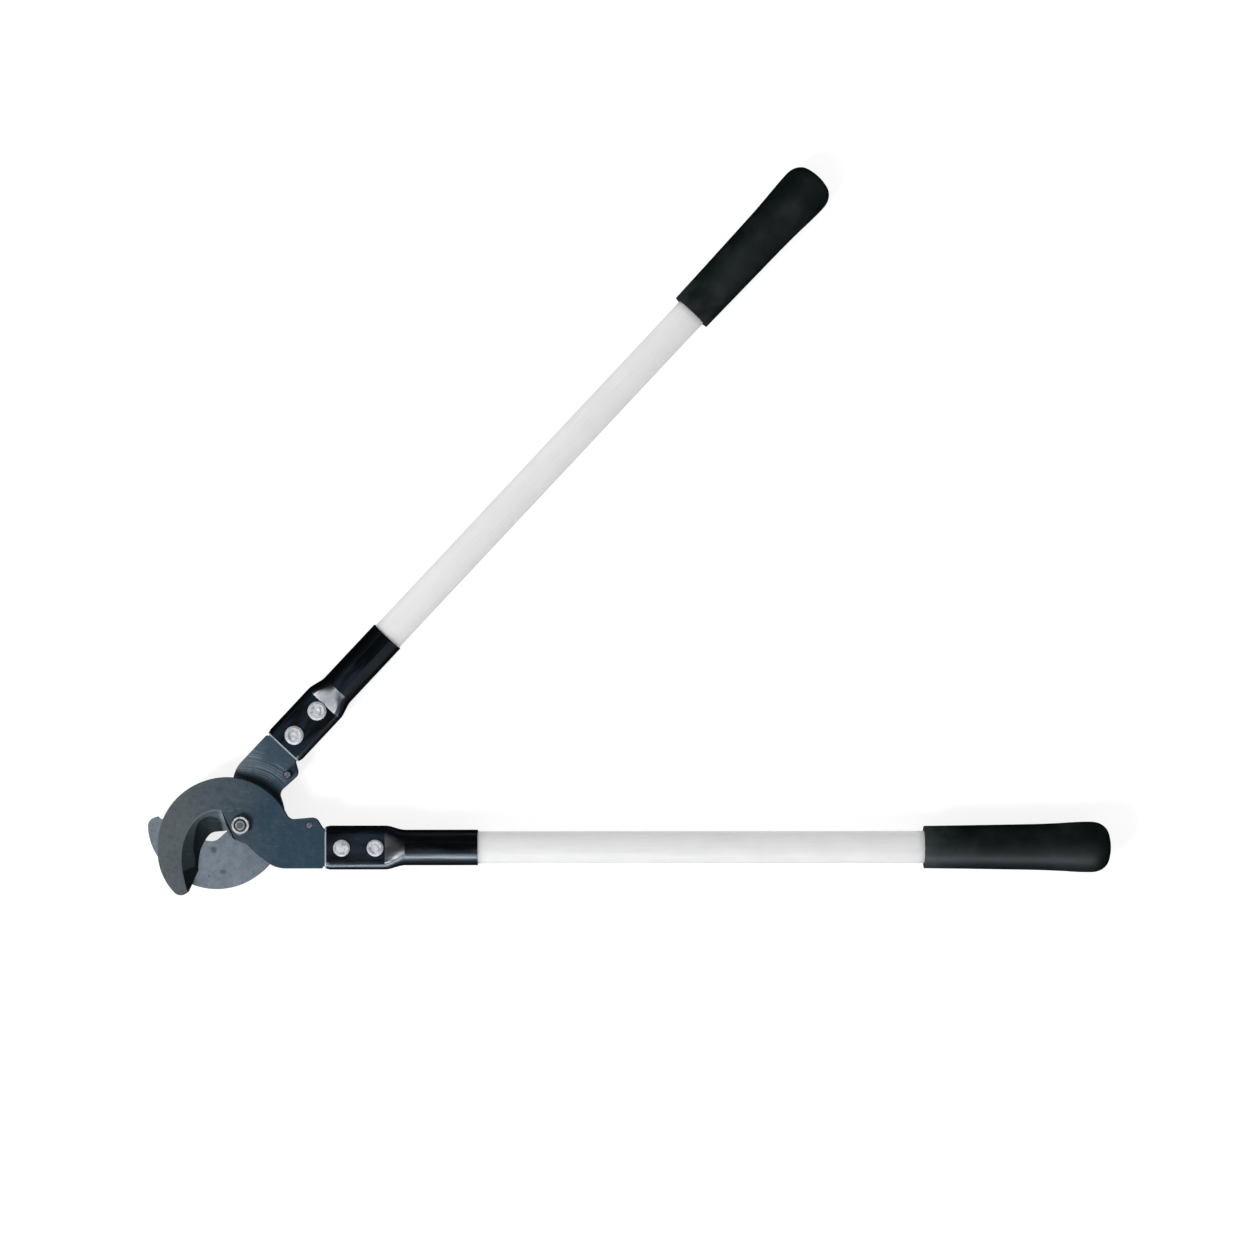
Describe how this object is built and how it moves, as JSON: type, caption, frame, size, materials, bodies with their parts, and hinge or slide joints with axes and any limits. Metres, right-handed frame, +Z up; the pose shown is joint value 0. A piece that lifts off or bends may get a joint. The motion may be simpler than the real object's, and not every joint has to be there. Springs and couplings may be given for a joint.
{
  "type": "cable cutter",
  "caption": "Long-handled shear cable cutter: two hooked jaws on one pivot bolt, black steel sockets, white fibreglass handles and black vinyl grips.",
  "frame": {"origin": "on the pivot axis, at the outer flat face of the pivot bolt's head", "axes": "+Z up the pivot axis from the bolt's head to the lock nut, +X along the bisector of the two handles, from the jaws to the grips"},
  "size_m": [0.6957, 0.6036, 0.0519],
  "materials": {
    "jaw_steel": "black-oxide forged tool steel, ground faces",
    "pin_steel": "hardened pin, dull grey",
    "black_socket": "gloss black enamel on steel tube",
    "rivet_steel": "bright zinc-plated steel",
    "bolt_steel": "bright zinc-plated steel",
    "fibreglass": "smooth white fibreglass tube",
    "vinyl_grip": "dipped black vinyl, satin"
  },
  "bodies": {
    "front_half": {"front_jaw": "jaw_steel", "front_stop_pin": "pin_steel", "front_socket": "black_socket", "front_inner_rivet": "rivet_steel", "front_outer_rivet": "rivet_steel", "front_handle_tube": "fibreglass", "front_grip": "vinyl_grip", "pivot_bolt": "bolt_steel", "pivot_lock_nut": "bolt_steel"},
    "rear_half": {"rear_jaw": "jaw_steel", "rear_stop_pin": "pin_steel", "rear_socket": "black_socket", "rear_inner_rivet": "rivet_steel", "rear_outer_rivet": "rivet_steel", "rear_handle_tube": "fibreglass", "rear_grip": "vinyl_grip"}
  },
  "joints": [
    {"name": "handle_pivot", "type": "hinge", "parent": "front_half", "child": "rear_half", "pos_m": [0, 0, 0.0181], "axis": [0, 0, 1], "range_deg": [-38, 97]}
  ]
}
